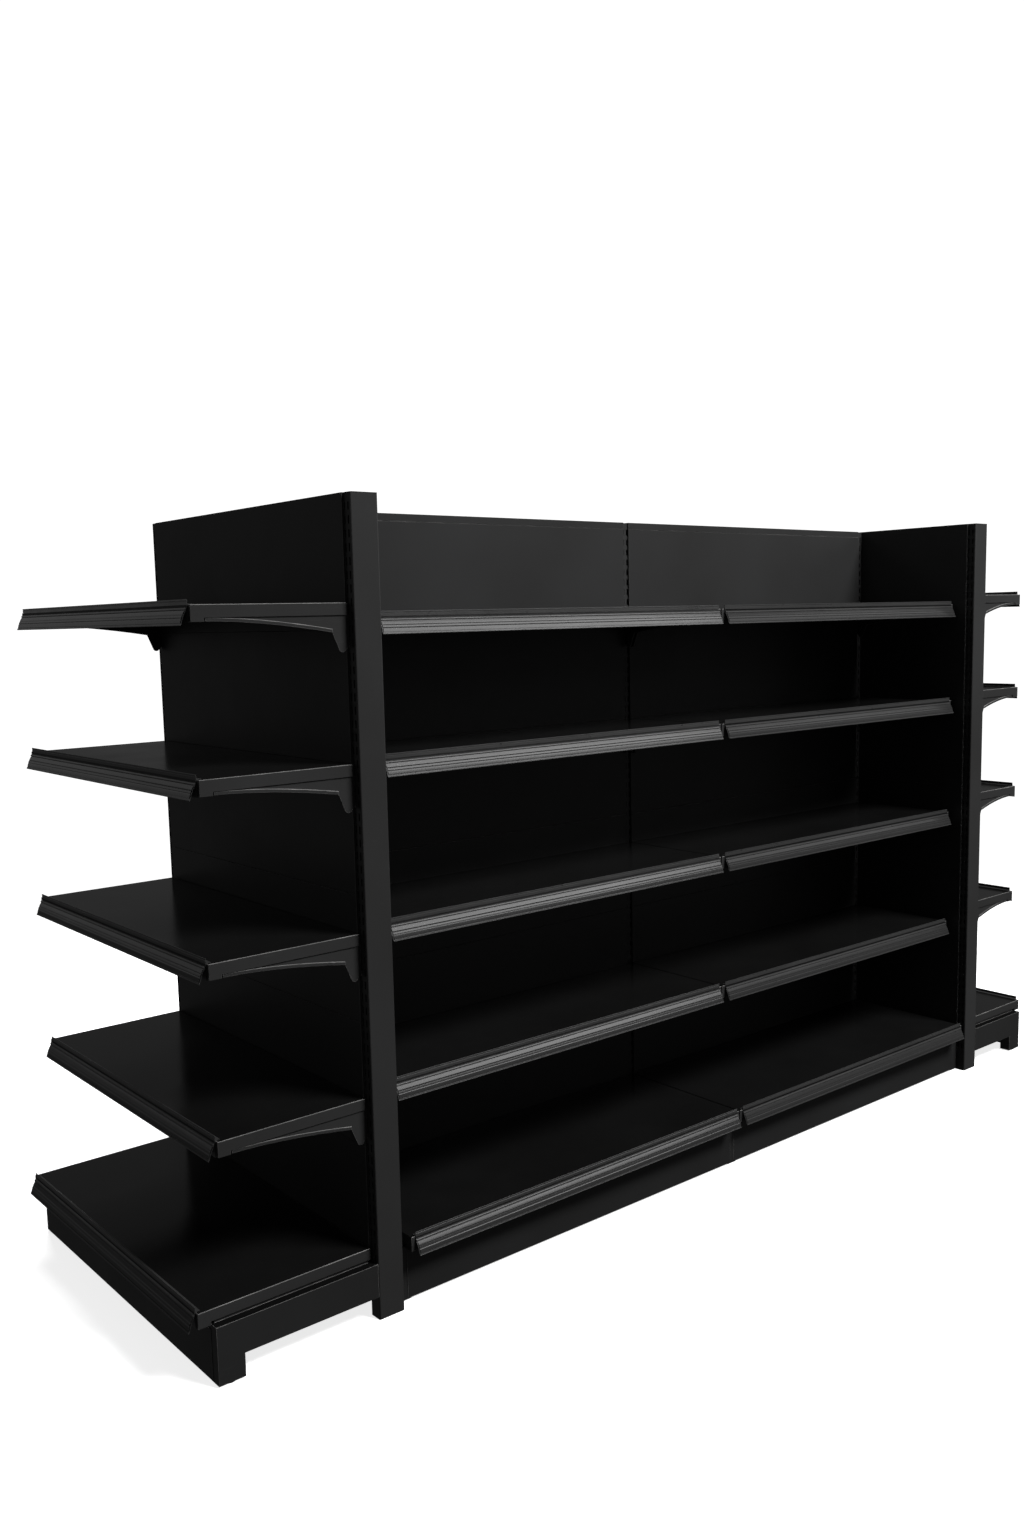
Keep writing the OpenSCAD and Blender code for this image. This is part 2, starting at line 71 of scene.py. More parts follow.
class Graph:
    """A material's node tree, built by short calls."""

    def __init__(self, name):
        self.mat = bpy.data.materials.new(name)
        self.mat.use_nodes = True
        self.tree = self.mat.node_tree
        self.tree.nodes.clear()
        self.out = self.add("ShaderNodeOutputMaterial")
        self.coord = self.add("ShaderNodeTexCoord").outputs["Object"]

    def add(self, kind, **values):
        node = self.tree.nodes.new(kind)
        for key, value in values.items():
            if hasattr(node, key):
                setattr(node, key, value)
            else:
                self.set(node, key.replace("_", " "), value)
        return node

    def set(self, node, key, value):
        socket = node.inputs[int(key) if key.isdigit() else key]
        if isinstance(value, bpy.types.NodeSocket):
            self.tree.links.new(value, socket)
        else:
            socket.default_value = value

    def noise(self, scale, detail=2.0, rough=0.5, stretch=None, warp=0.0):
        vector = self.coord
        if stretch:
            mapping = self.add("ShaderNodeMapping", Scale=stretch)
            self.set(mapping, "Vector", vector)
            vector = mapping.outputs["Vector"]
        node = self.add("ShaderNodeTexNoise", Scale=scale, Detail=detail, Roughness=rough, Distortion=warp)
        self.set(node, "Vector", vector)
        return node.outputs["Fac"]

    def remap(self, value, lo, hi, new_lo, new_hi):
        node = self.add("ShaderNodeMapRange")
        node.clamp = True
        limits = (("From Min", lo), ("From Max", hi), ("To Min", new_lo), ("To Max", new_hi))
        for key, v in (("Value", value), *limits):
            self.set(node, key, v)
        return node.outputs["Result"]

    def math(self, operation, a, b=0.0):
        node = self.add("ShaderNodeMath", operation=operation)
        self.set(node, "0", a)
        self.set(node, "1", b)
        return node.outputs["Value"]

    def mix(self, factor, a, b):
        node = self.add("ShaderNodeMix", data_type="RGBA")
        self.set(node, "0", factor)
        self.set(node, "6", a)
        self.set(node, "7", b)
        return node.outputs[2]

    def bump(self, height, distance, strength, normal=None):
        node = self.add("ShaderNodeBump", Strength=strength, Distance=distance, Height=height)
        if normal is not None:
            self.set(node, "Normal", normal)
        return node.outputs["Normal"]

    def facing_up(self, start=0.75):
        split = self.add("ShaderNodeSeparateXYZ")
        self.set(split, "Vector", self.add("ShaderNodeNewGeometry").outputs["Normal"])
        return self.remap(split.outputs["Z"], start, 1.0, 0.0, 1.0)

    def principled(self, color, rough, normal=None, **values):
        node = self.add("ShaderNodeBsdfPrincipled")
        self.set(node, "Base Color", color)
        self.set(node, "Roughness", rough)
        if normal is not None:
            self.set(node, "Normal", normal)
        for key, value in values.items():
            self.set(node, key.replace("_", " "), value)
        return node.outputs["BSDF"]

    def surface(self, shader):
        self.tree.links.new(shader, self.out.inputs["Surface"])
        return self.mat


def grey(value, warm=0.0):
    return (value * (1 + warm), value, value * (1 - warm), 1.0)


def powder_coat(name, tone, rough, specular=0.5, dust=0.0, scuff=0.0, waves=0.0, painted_top_shade=0.0):
    """Fine-textured black powder coat: a grainy film with a slow unevenness, some dust and rubbed marks. With
    painted top shade, where it faces up it is painted near black and loses its sheen, as shade under a shelf."""
    g = Graph(name)
    grain = g.noise(1500, 3, 0.6)
    peel = g.noise(260, 2, 0.5)
    cloud = g.noise(2.6, 3, 0.55)
    smear = g.noise(7, 4, 0.6)
    tint = g.mix(g.remap(cloud, 0.3, 0.7, 0.0, 1.0), grey(tone * 0.86, 0.01), grey(tone * 1.16, -0.012))
    sparkle = g.remap(grain, 0.62, 0.8, 0.0, 0.35)
    tint = g.mix(sparkle, tint, grey(tone * 2.4))
    if dust:
        patchy = g.math("MULTIPLY", g.facing_up(), g.remap(g.noise(9, 5, 0.65), 0.38, 0.75, 0.15, 1.0))
        tint = g.mix(g.math("MULTIPLY", patchy, dust), tint, (0.30, 0.285, 0.26, 1.0))
    roughness = g.math("ADD", g.remap(cloud, 0.3, 0.7, rough - 0.05, rough + 0.05),
                       g.remap(smear, 0.3, 0.7, -0.03, 0.03))
    if scuff:
        streak = g.noise(60, 3, 0.7, stretch=(0.35, 0.35, 3.2), warp=0.8)
        places = g.remap(g.noise(5, 2), 0.48, 0.7, 0.0, 1.0)
        rub = g.math("MULTIPLY", g.remap(streak, 0.63, 0.72, 0.0, 1.0), places)
        rub = g.math("MULTIPLY", rub, scuff)
        tint = g.mix(rub, tint, grey(tone * 3.2))
        roughness = g.math("ADD", roughness, g.math("MULTIPLY", rub, 0.12))
    # painted shade: where the film faces up it is painted near black and its sheen is taken away
    if painted_top_shade:
        top = g.math("MULTIPLY", g.facing_up(), painted_top_shade)
        tint = g.mix(top, tint, grey(0.002))
        specular = g.math("MULTIPLY", g.math("SUBTRACT", 1.0, top), specular)
    normal = g.bump(peel, 0.00016, 0.5)
    normal = g.bump(grain, 0.00005, 0.6, normal)
    if waves:
        normal = g.bump(g.noise(1.7, 1, 0.4), waves, 1.0, normal)
    return g.surface(g.principled(tint, roughness, normal, Specular_IOR_Level=specular))


def edge_highlight_and_wear(name, tone, rough):
    """The same film on a bend or rim, painted much lighter as an edge highlight, and in worn patches lighter
    and smoother still.
    """
    g = Graph(name)
    wear = g.remap(g.noise(30, 3, 0.6), 0.42, 0.7, 0.2, 1.0)
    patch = g.remap(g.noise(4.5, 2), 0.35, 0.65, 0.3, 1.0)
    amount = g.math("MULTIPLY", wear, patch)
    tint = g.mix(amount, grey(tone), grey(tone * 3.0, 0.02))
    roughness = g.math("SUBTRACT", rough, g.math("MULTIPLY", amount, 0.07))
    normal = g.bump(g.noise(900, 2), 0.00004, 0.5)
    return g.surface(g.principled(tint, roughness, normal, Specular_IOR_Level=0.6))


def moulded_plastic(name, tone, rough):
    """Injection-moulded black plastic with a fine spark-eroded texture."""
    g = Graph(name)
    grain = g.noise(2200, 2, 0.6)
    tint = g.mix(g.remap(g.noise(8, 3), 0.3, 0.7, 0.0, 1.0), grey(tone * 0.9), grey(tone * 1.15))
    roughness = g.remap(g.noise(30, 4, 0.6), 0.3, 0.7, rough - 0.05, rough + 0.06)
    return g.surface(g.principled(tint, roughness, g.bump(grain, 0.00006, 0.6)))


def extruded_plastic(name, tone, rough):
    """Extruded strip: die lines along its length and a smooth skin."""
    g = Graph(name)
    lines = g.noise(520, 2, 0.5, stretch=(0.0005, 0.0005, 1.0))
    tint = g.mix(g.remap(g.noise(5, 3), 0.3, 0.7, 0.0, 1.0), grey(tone * 0.88), grey(tone * 1.12))
    roughness = g.remap(g.noise(22, 4, 0.6), 0.3, 0.7, rough - 0.04, rough + 0.06)
    return g.surface(g.principled(tint, roughness, g.bump(lines, 0.00005, 0.4)))


def clear_cover(name, tone, rough):
    """Clear label cover: over the black strip it looks black, with its own satin sheen and fine die lines."""
    g = Graph(name)
    lines = g.noise(700, 1, stretch=(0.0005, 0.0005, 1.0))
    marks = g.remap(g.noise(9, 3, 0.6), 0.35, 0.7, rough - 0.02, rough + 0.03)
    return g.surface(g.principled(grey(tone), marks, g.bump(lines, 0.0001, 0.25), Specular_IOR_Level=0.5))


def zinc_plate(name):
    """Bright zinc plating with a faint crystalline blotch."""
    g = Graph(name)
    blotch = g.noise(340, 4, 0.6)
    tint = g.mix(g.remap(blotch, 0.35, 0.65, 0.0, 1.0), (0.50, 0.51, 0.53, 1), (0.66, 0.67, 0.68, 1))
    roughness = g.remap(g.noise(90, 3), 0.3, 0.7, 0.24, 0.42)
    return g.surface(g.principled(tint, roughness, g.bump(blotch, 0.00004, 0.5), Metallic=1.0))


COATS = {
    "frame_coat": powder_coat("frame_coat", 0.024, 0.40, scuff=0.25, waves=0.0004),
    "panel_coat": powder_coat("panel_coat", 0.020, 0.40, waves=0.0005),
    # the shelf coat's tone is set far below the frame coat's: painted shade on the shelf tops
    "shelf_coat": powder_coat("shelf_coat", 0.0046, 0.17, specular=0.28, dust=0.004, waves=0.0003),
    "kick_coat": powder_coat("kick_coat", 0.014, 0.42, scuff=0.7, waves=0.0008),
    # the feet's coat, with painted shade on their up-facing tops
    "foot_coat": powder_coat("foot_coat", 0.016, 0.42, scuff=0.6, waves=0.0004, painted_top_shade=0.9),
    "black_plastic": moulded_plastic("black_plastic", 0.016, 0.45),
    "zinc_steel": zinc_plate("zinc_steel"),
}
# painted edge highlight, partly wear: every eased edge and bend takes this much lighter film
EDGE_HIGHLIGHT_AND_WEAR = edge_highlight_and_wear("edge_coat", 0.085, 0.34)
# the second film is near black and rough, and is painted shade in the channel under the strip's ridge
STRIP_COATS = (extruded_plastic("strip_plastic", 0.030, 0.30), moulded_plastic("channel_plastic", 0.004, 0.7))
COVER = clear_cover("label_cover", 0.022, 0.24)


# ---------------------------------------------------------------- the solids inside a CAD node

def solids(bm):
    """The node's separate solids, each as a set of vertices, lowest first."""
    left, parts = set(bm.verts), []
    while left:
        seed = left.pop()
        part, queue = {seed}, [seed]
        while queue:
            for edge in queue.pop().link_edges:
                for v in edge.verts:
                    if v in left:
                        left.discard(v)
                        part.add(v)
                        queue.append(v)
        parts.append(part)
    return sorted(parts, key=lambda part: tuple(corners(part)[0])[::-1])


def corners(part):
    """The lower and upper corner of the box around some vertices."""
    return (Vector([min(v.co[i] for v in part) for i in range(3)]),
            Vector([max(v.co[i] for v in part) for i in range(3)]))


def to_mesh(bm, name, *materials, smooth=True):
    """Turns a bmesh into a piece in the scene, with its materials in order."""
    bmesh.ops.recalc_face_normals(bm, faces=bm.faces)
    mesh = bpy.data.meshes.new(name)
    bm.to_mesh(mesh)
    bm.free()
    for m in materials:
        mesh.materials.append(m)
    if smooth:
        mesh.shade_smooth()
    piece = bpy.data.objects.new(name, mesh)
    bpy.context.scene.collection.objects.link(piece)
    return piece


# ---------------------------------------------------------------- CAD nodes that stay

# how far the edges of each kind of node are eased; the first kind that fits counts
BEVELS = {
    "upright_caps": 0.7 * MM, "upright": 0.35 * MM, "brackets": 0.55 * MM, "back_panels": 0.3 * MM,
    "top_rails": 0.45 * MM, "kick_plate": 0.45 * MM, "base_feet": 0.8 * MM, "tie_bars": 0.8 * MM,
    "levelling_glides": 0.6 * MM, "joining_bolts": 0.5 * MM,
}


def coat_of(node):
    """The coat of a node's slot; the feet take a darker, slightly rougher one, with painted shade on their
    tops.
    """
    return COATS["foot_coat" if node.startswith("base_feet") else SLOT_OF[node]]


def dress(node):
    """Gives a CAD node its coat, and eases its edges by modifiers; its own mesh stays as packed."""
    piece = NODES[node]
    piece.data.materials.clear()
    piece.data.materials.append(coat_of(node))
    coated = SLOT_OF[node].endswith("_coat")
    if coated:
        piece.data.materials.append(EDGE_HIGHLIGHT_AND_WEAR)
    weld = piece.modifiers.new("weld", "WELD")
    weld.merge_threshold = WELD
    flat = piece.modifiers.new("flatten", "DECIMATE")
    flat.decimate_type = "DISSOLVE"
    flat.angle_limit = FLAT
    ease = piece.modifiers.new("ease", "BEVEL")
    ease.width = next(width for kind, width in BEVELS.items() if node.startswith(kind))
    ease.segments = 2
    ease.limit_method = "ANGLE"
    ease.angle_limit = math.radians(40)
    ease.harden_normals = False
    # the eased edges take the painted edge highlight, partly wear
    if coated:
        ease.material = 1


for name in NODES:
    if not name.startswith(("shelf_", "base_shelf_")):
        dress(name)


PANEL_FACING = {
    "back_panels_front": (0, -1, 0), "back_panels_rear": (0, 1, 0),
    "back_panels_left_outer": (-1, 0, 0), "back_panels_left_inner": (1, 0, 0),
    "back_panels_right_outer": (1, 0, 0), "back_panels_right_inner": (-1, 0, 0),
}
TONGUE_T = 1.5 * MM         # thickness of the tongue behind a panel seam
TONGUE_H = 14 * MM          # its height
TONGUE_INSET = 12 * MM      # how far it stops short of the panel's ends
TONGUE_GAP = 0.1 * MM       # its play behind the panels
SEAM_MAX = 3 * MM           # panels of a stack stand closer than this


def seam_tongues(node):
    """Behind each seam of a panel stack, the tongue that keeps light from showing through the gap."""
    face = Vector(PANEL_FACING[node])
    along = Vector((abs(face.y), abs(face.x), 0))
    source, bm = bmesh.new(), bmesh.new()
    source.from_mesh(NODES[node].data)
    bmesh.ops.remove_doubles(source, verts=source.verts, dist=WELD)
    panels = [corners(part) for part in solids(source)]
    source.free()
    for lo, hi in panels:
        for upper, _ in panels:
            if abs((upper - lo).dot(along)) < MM and 0 < upper.z - hi.z < SEAM_MAX:
                back = min(lo.dot(face), hi.dot(face)) - TONGUE_GAP - TONGUE_T / 2
                at = along * (lo + hi).dot(along) / 2 + face * back + Vector((0, 0, (hi.z + upper.z) / 2))
                size = (along * ((hi - lo).dot(along) - 2 * TONGUE_INSET) + face * TONGUE_T
                        + Vector((0, 0, TONGUE_H)))
                bmesh.ops.create_cube(bm, size=1, matrix=Matrix.Translation(at) @ Matrix.Diagonal((*size, 1)))
    piece = to_mesh(bm, "tongues_" + node, COATS["panel_coat"], smooth=False)
    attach(piece, "frame")


for name in sorted(PANEL_FACING):
    seam_tongues(name)


# ---------------------------------------------------------------- shelves

OUTWARD = {
    "front": Vector((0, -1, 0)), "rear": Vector((0, 1, 0)),
    "left": Vector((-1, 0, 0)), "right": Vector((1, 0, 0)),
}


def shelf_side(node):
    """The side of the island that the shelf stands on; left and right are the end units."""
    return node.removeprefix("base_").split("_")[1]


def on_end_unit(node):
    return shelf_side(node) in ("left", "right")


def face_normals(piece):
    """Keeps flats flat and bends round where the two meet."""
    piece.data.set_sharp_from_angle(angle=math.radians(28))
    piece.modifiers.new("normals", "WEIGHTED_NORMAL").keep_sharp = True


BEND_R = 1.1 * MM           # how far a rounded bend reaches
RIM = 0.4 * MM              # how far a cut edge is eased
# painted light and shade: the tray's flats take the near-black shelf coat and its upright faces the lighter
# frame coat, on one sheet of steel
TRAY_COATS = (COATS["shelf_coat"], EDGE_HIGHLIGHT_AND_WEAR, COATS["frame_coat"])
TOP, EDGE, UPRIGHT = range(3)       # the tray's faces by material


def tray_mesh(node):
    """The shelf's folded tray with rounded bends: the CAD tray, its flats made whole and its edges eased."""
    bm = bmesh.new()
    bm.from_mesh(NODES[node].data)
    bmesh.ops.remove_doubles(bm, verts=bm.verts, dist=WELD)

    def spread(part):
        lo, hi = corners(part)
        return (hi.x - lo.x) * (hi.y - lo.y)

    # of the node's solids, the tray is the one that covers the most floor; the other is its strip
    tray = max(solids(bm), key=spread)
    bmesh.ops.delete(bm, geom=[v for v in bm.verts if v not in tray], context="VERTS")
    bmesh.ops.dissolve_limit(bm, angle_limit=FLAT, verts=bm.verts, edges=bm.edges)
    out = OUTWARD[shelf_side(node)]
    along = Vector((abs(out.y), abs(out.x), 0))
    heights = [v.co.z for v in bm.verts]
    places = [v.co.dot(along) for v in bm.verts]
    top, bottom, ends = max(heights), min(heights), (min(places), max(places))
    front = max(v.co.dot(out) for v in bm.verts)
    eps = 0.05 * MM

    def on(edge, test):
        return all(test(v.co) for v in edge.verts)

    bends = [e for e in bm.edges if
             on(e, lambda p: abs(p.z - top) < eps and abs(p.dot(out) - front) < eps)
             or on(e, lambda p: abs(p.z - bottom) < eps and abs(p.dot(out) - front) < eps)
             or on(e, lambda p: abs(p.z - top) < eps and min(abs(p.dot(along) - x) for x in ends) < eps)]
    # the rounded bends, and the rims below, take the painted edge highlight, partly wear
    bmesh.ops.bevel(bm, geom=bends, offset=BEND_R, segments=4, profile=0.5, affect="EDGES",
                    clamp_overlap=True, material=EDGE)
    if not on_end_unit(node):
        # a run shelf's ends stand against a neighbour or an upright, so they take no painted edge highlight
        # or wear
        for face in bm.faces:
            if min(abs(face.calc_center_median().dot(along) - x) for x in ends) < BEND_R:
                face.material_index = TOP
    rims = [e for e in bm.edges if len(e.link_faces) == 2 and e.calc_face_angle(0) > math.radians(50)]
    bmesh.ops.bevel(bm, geom=rims, offset=RIM, segments=1, profile=0.5, affect="EDGES",
                    clamp_overlap=True, material=EDGE)
    # upright faces take the lighter frame coat: painted light against the darker flats
    for face in bm.faces:
        if face.material_index == TOP and abs(face.normal.z) < 0.5:
            face.material_index = UPRIGHT
    return bm


def sweep(profile, length, matrix, shaded=(0.0, 0.0)):
    """A closed profile of (out, up) points swept along its length, in the row frame. The outer side between
    the two shaded heights takes the second material, a dark film that paints in the shade of the channel."""
    bm = bmesh.new()
    half, n = length / 2, len(profile)
    rings = [[bm.verts.new(matrix @ Vector((x, p[0], p[1]))) for p in profile] for x in (-half, half)]
    for i in range(n):
        side = bm.faces.new((rings[0][i], rings[0][(i + 1) % n], rings[1][(i + 1) % n], rings[1][i]))
        a, b = profile[i], profile[(i + 1) % n]
        if min(a[0], b[0]) > MM and shaded[0] < (a[1] + b[1]) / 2 < shaded[1]:
            side.material_index = 1
    bm.faces.new(rings[0])
    bm.faces.new(rings[1][::-1])
    return bm


def arc(cx, cy, radius, start, end, steps):
    """Points on an arc from the start angle to the end angle, in degrees."""
    angles = [math.radians(start + (end - start) * i / steps) for i in range(steps + 1)]
    return [(cx + radius * math.cos(a), cy + radius * math.sin(a)) for a in angles]


def face_curve(t):
    """The strip's curved face: (out, up), t = 0 at the top and 1 at the lower edge."""
    out = STRIP_START + STRIP_LEAN * t + STRIP_BULGE * math.sin(math.pi * t)
    return out, -STRIP_TOP - (STRIP_DROP - STRIP_TOP) * t


def face_point(t, lift):
    """A point that stands lift proud of the curved face."""
    x, z = face_curve(t)
    x2, z2 = face_curve(t + 0.01)
    normal = Vector((z - z2, x2 - x)).normalized()
    return x + normal.x * lift, z + normal.y * lift


WINDOW = (0.16, 0.88)       # where the label window starts and ends on the face
RECESS = 1.1 * MM           # how deep the label window lies behind the beads that hold its cover
BEAD_R = 0.9 * MM           # radius of the bead along the strip's lower edge
GROOVE = 0.55 * MM          # depth of the groove along the front of the ridge
CHANNEL = (-STRIP_TOP - 0.8 * MM, -0.6 * MM)        # heights of the shaded channel under the ridge
UPPER_BEAD = ((0.135, 0.75), (0.11, 1.0), (0.08, 1.0), (0.055, 0.7), (0.04, 0.1))   # place, height in mm
COVER_T = 0.45 * MM
COVER_CROWN = 0.45 * MM     # how far the cover bulges in its middle
COVER_PLAY = 0.03           # share of the face that the cover stops short of the window's edges
COVER_STEPS = 44
CREASES = ((0.36, 0.7 * MM), (0.62, 0.8 * MM))      # creases of the cover: share of its height, depth
CREASE_W = 0.05             # half the width of a crease, as a share of the cover's height


def strip_profile():
    """Back plate with its ridge, shelf lip and lower hook, and a face with a bead above and below the label
    window. Points run anticlockwise."""
    r = STRIP_T / 2
    plate = FIT_GAP + STRIP_T
    hook = -FOLD_H - FIT_GAP
    pts = arc(FIT_GAP + r, RIDGE_H - r, r, 0, 180, 6)
    pts += [(FIT_GAP, plate + 0.5 * MM), (FIT_GAP - 0.5 * MM, plate), (r - LIP_D, plate)]
    pts += arc(r - LIP_D, FIT_GAP + r, r, 90, 270, 5)[1:]
    pts += [(FIT_GAP, FIT_GAP), (FIT_GAP, hook), (-HOOK_D, hook)]
    pts += arc(-HOOK_D, hook - r, r, 90, 270, 5)[1:]
    pts += [(plate, hook - STRIP_T), (plate, face_curve(WINDOW[0])[1])]
    pts += [face_point(i / 12, -1.9 * MM) for i in range(3, 12)]
    pts += [face_point(0.955, -1.5 * MM)]
    x, z = face_curve(1)
    pts += arc(x - BEAD_R, z + BEAD_R, BEAD_R, 215, 385, 7)
    pts += [face_point(t, 0) for t in (0.95, 0.92, 0.89)]
    pts += [face_point(WINDOW[1], -0.1 * MM)]
    pts += [face_point(WINDOW[0] + (WINDOW[1] - WINDOW[0]) * i / 12, -RECESS) for i in range(12, -1, -1)]
    pts += [face_point(WINDOW[0] - 0.005, 0.2 * MM)]
    pts += [face_point(t, lift * MM) for t, lift in UPPER_BEAD]
    pts += [(plate + 0.1 * MM, -STRIP_TOP - 0.6 * MM), (plate, -STRIP_TOP + 0.4 * MM), (plate, CHANNEL[1])]
    pts += [(plate, RIDGE_H - 4.3 * MM), (plate - GROOVE, RIDGE_H - 3.8 * MM)]
    pts += [(plate - GROOVE, RIDGE_H - 2.9 * MM), (plate, RIDGE_H - 2.4 * MM)]
    return pts


def cover_profile():
    """Clear label cover: a thin sheet held between the two beads, with the creases of its extrusion."""
    outer, inner = [], []
    start, height = WINDOW[0] + COVER_PLAY, WINDOW[1] - WINDOW[0] - 2 * COVER_PLAY
    for i in range(COVER_STEPS + 1):
        s = i / COVER_STEPS
        crease = max(depth * max(0.0, 1 - abs(s - at) / CREASE_W) for at, depth in CREASES)
        lift = -RECESS + 0.55 * MM + COVER_CROWN * math.sin(math.pi * s) - crease
        outer.append(face_point(start + height * s, lift + COVER_T))
        inner.append(face_point(start + height * s, lift))
    return outer + inner[::-1]


STRIPS = {group: bpy.data.collections.new("strips_" + group) for group in ("left_bay", "ends")}


def light_group(node):
    """The group of strips with a softbox of their own that a shelf's strip belongs to, if any."""
    if on_end_unit(node):
        return STRIPS["ends"]
    return STRIPS["left_bay"] if "_left" in node else None


def shelf_pieces(node):
    """Replaces a shelf node by its tray, its price strip and the strip's clear cover."""
    out = OUTWARD[shelf_side(node)]
    along = Vector((abs(out.y), abs(out.x), 0))
    lo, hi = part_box(node)
    front = max(lo.dot(out), hi.dot(out)) - STRIP_START - STRIP_LEAN
    origin = along * (lo + hi).dot(along) / 2 + out * front + Vector((0, 0, hi.z - RIDGE_H))
    matrix = Matrix.Translation(origin) @ Matrix((along, out, (0, 0, 1))).transposed().to_4x4()
    length = (hi - lo).dot(along) - 2 * STRIP_INSET
    tag = node.replace("base_shelf", "base").replace("shelf_", "")
    tray = to_mesh(tray_mesh(node), "tray_" + tag, *TRAY_COATS)
    strip = to_mesh(sweep(strip_profile(), length, matrix, CHANNEL), "strip_" + tag, *STRIP_COATS)
    cover = to_mesh(sweep(cover_profile(), length - 4 * MM, matrix), "cover_" + tag, COVER)
    for piece, slot in ((tray, "shelf_coat"), (strip, "black_plastic"), (cover, "black_plastic")):
        face_normals(piece)
        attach(piece, node)
        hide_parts(node)
    group = light_group(node)
    if group:
        group.objects.link(strip)
        group.objects.link(cover)


for name in sorted(NODES):
    if name.startswith(("shelf_", "base_shelf_")):
        shelf_pieces(name)


# ---------------------------------------------------------------- floor, light and camera

FLOOR_SIZE = 40
FLOOR_FADE = (2.0, 4.0)     # distance from the middle over which the floor fades into the white backdrop
FLOOR_GLOW = 0.80           # what the floor adds of its own, so that it reads as pale as in the photo


def studio_floor():
    """A pale floor that only the camera sees: it takes shadows and fades out into the backdrop."""
    bm = bmesh.new()
    bmesh.ops.create_grid(bm, x_segments=1, y_segments=1, size=FLOOR_SIZE)
    floor = to_mesh(bm, "floor", smooth=False)
    g = Graph("pale_floor")
    tint = g.mix(g.remap(g.noise(1.2, 3), 0.3, 0.7, 0.0, 1.0), grey(0.86), grey(0.89))
    soft = g.add("ShaderNodeBsdfDiffuse", Color=tint)
    lift = g.add("ShaderNodeEmission", Color=(1, 1, 1, 1))
    path = g.add("ShaderNodeLightPath")
    g.set(lift, "Strength", g.math("MULTIPLY", path.outputs["Is Camera Ray"], FLOOR_GLOW))
    both = g.add("ShaderNodeAddShader")
    g.set(both, "0", soft.outputs["BSDF"])
    g.set(both, "1", lift.outputs["Emission"])
    away = g.add("ShaderNodeVectorMath", operation="LENGTH")
    g.set(away, "0", g.coord)
    fade = g.add("ShaderNodeMixShader")
    g.set(fade, "0", g.remap(away.outputs["Value"], *FLOOR_FADE, 0.0, 1.0))
    g.set(fade, "1", both.outputs["Shader"])
    g.set(fade, "2", g.add("ShaderNodeBsdfTransparent").outputs["BSDF"])
    floor.data.materials.append(g.surface(fade.outputs["Shader"]))
    floor.visible_diffuse = floor.visible_glossy = False


DOME = ((0.0, 0.035), (0.5, 0.06), (0.62, 0.075), (1.0, 0.12))     # share of the way up, grey
BACKDROP = 1.1              # strength of the white that the camera sees


def studio_world():
    """White behind the object; what it is lit by and reflects is a soft dome, brighter overhead."""
    world = bpy.data.worlds.new("studio")
    bpy.context.scene.world = world
    world.use_nodes = True
    tree = world.node_tree
    tree.nodes.clear()
    add, link = tree.nodes.new, tree.links.new
    coord = add("ShaderNodeTexCoord")
    split = add("ShaderNodeSeparateXYZ")
    ramp = add("ShaderNodeValToRGB")
    while len(ramp.color_ramp.elements) < len(DOME):
        ramp.color_ramp.elements.new(0.5)
    for element, (at, value) in zip(ramp.color_ramp.elements, DOME):
        element.position = at
        element.color = grey(value)
    height = add("ShaderNodeMapRange")
    height.inputs["From Min"].default_value = -1
    dome, white = add("ShaderNodeBackground"), add("ShaderNodeBackground")
    white.inputs["Color"].default_value = (1, 1, 1, 1)
    white.inputs["Strength"].default_value = BACKDROP
    path, pick, out = add("ShaderNodeLightPath"), add("ShaderNodeMixShader"), add("ShaderNodeOutputWorld")
    link(coord.outputs["Generated"], split.inputs["Vector"])
    link(split.outputs["Z"], height.inputs["Value"])
    link(height.outputs["Result"], ramp.inputs["Fac"])
    link(ramp.outputs["Color"], dome.inputs["Color"])
    link(path.outputs["Is Camera Ray"], pick.inputs[0])
    link(dome.outputs["Background"], pick.inputs[1])
    link(white.outputs["Background"], pick.inputs[2])
    link(pick.outputs["Shader"], out.inputs["Surface"])


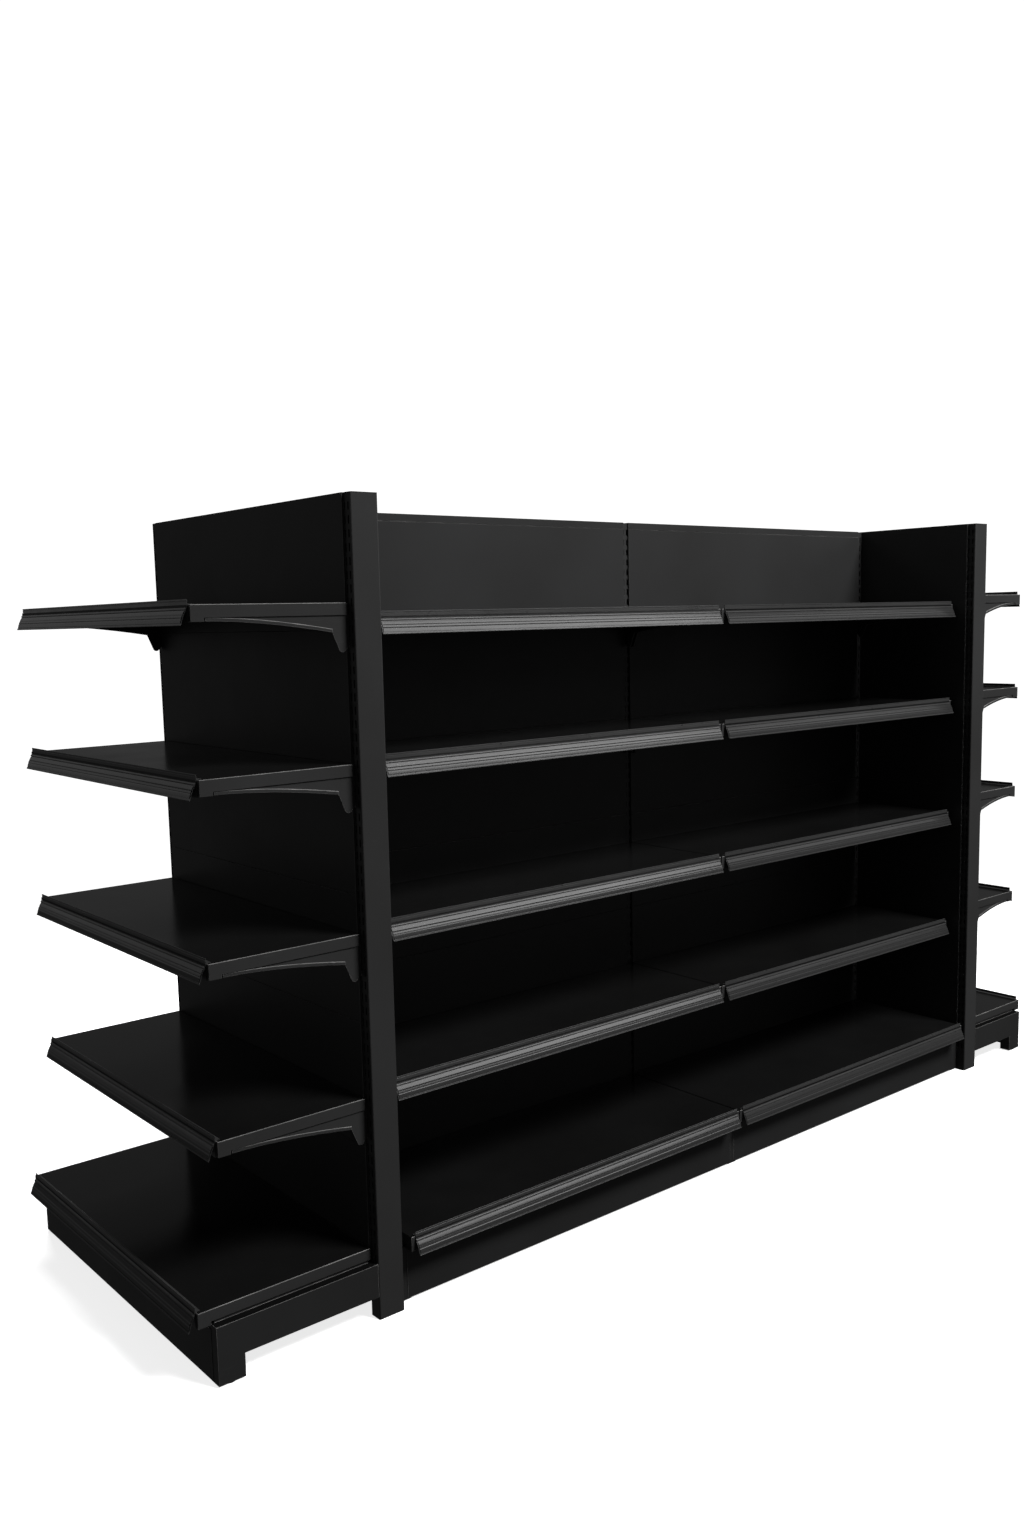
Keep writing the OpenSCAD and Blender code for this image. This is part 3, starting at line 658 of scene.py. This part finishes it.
def soft_light(name, at, target, size, power, sheen=True, fill=True, only=None):
    """A softbox. With sheen off it isn't mirrored in the coats, with fill off it is seen only in their
    sheen, and only narrows it to one group of strips."""
    data = bpy.data.lights.new(name, "AREA")
    data.shape = "RECTANGLE"
    data.size, data.size_y = size
    data.energy = power
    lamp = bpy.data.objects.new(name, data)
    lamp.location = at
    lamp.rotation_euler = (Vector(target) - Vector(at)).to_track_quat("-Z", "Y").to_euler()
    lamp.visible_camera = False
    lamp.visible_glossy, lamp.visible_diffuse = sheen, fill
    if only:
        lamp.light_linking.receiver_collection = STRIPS[only]
    bpy.context.scene.collection.objects.link(lamp)


CAMERA_AT = (-2.418, -2.446, 1.361)
CAMERA_TURN = (39.06, 7.14, -1.37)      # yaw, pitch and roll in degrees
CAMERA_LENS = 30.63
CAMERA_SHIFT = (0.0147, 0.0105)


def photo_camera():
    """The photograph's viewpoint: low over the left front corner, turned towards the run's middle."""
    data = bpy.data.cameras.new("camera")
    camera = bpy.data.objects.new("camera", data)
    bpy.context.scene.collection.objects.link(camera)
    camera.location = CAMERA_AT
    yaw, pitch, roll = (math.radians(a) for a in CAMERA_TURN)
    camera.rotation_euler = (Matrix.Rotation(-yaw, 3, "Z") @ Matrix.Rotation(math.pi / 2 - pitch, 3, "X")
                             @ Matrix.Rotation(roll, 3, "Z")).to_euler()
    data.sensor_width = 36
    data.lens = CAMERA_LENS
    data.shift_x, data.shift_y = CAMERA_SHIFT
    data.clip_start, data.clip_end = 0.05, 100
    bpy.context.scene.camera = camera


studio_floor()
studio_world()
# The key and the rear light give the shading; the glows give the sheen of strips and coats.
soft_light("key", (2.1, -5.0, 6.4), (-0.2, 0.0, 0.8), (3.0, 2.0), 1000, sheen=False)
soft_light("rear", (1.2, 5.4, 5.4), (0.0, 0.0, 0.9), (3.0, 2.0), 420, sheen=False)
soft_light("left_glow", (2.4, -3.0, 3.7), (2.4, -0.4, 1.5), (3.6, 3.6), 155, fill=False, only="left_bay")
soft_light("end_glow", (-3.0, 3.9, 2.6), (-1.4, 0.0, 1.0), (3.4, 3.0), 6, fill=False, only="ends")
soft_light("coat_glow", (3.4, -3.0, 3.2), (0.6, -0.4, 1.0), (3.4, 1.6), 14, fill=False)
photo_camera()
bpy.context.scene.view_settings.view_transform = "Standard"
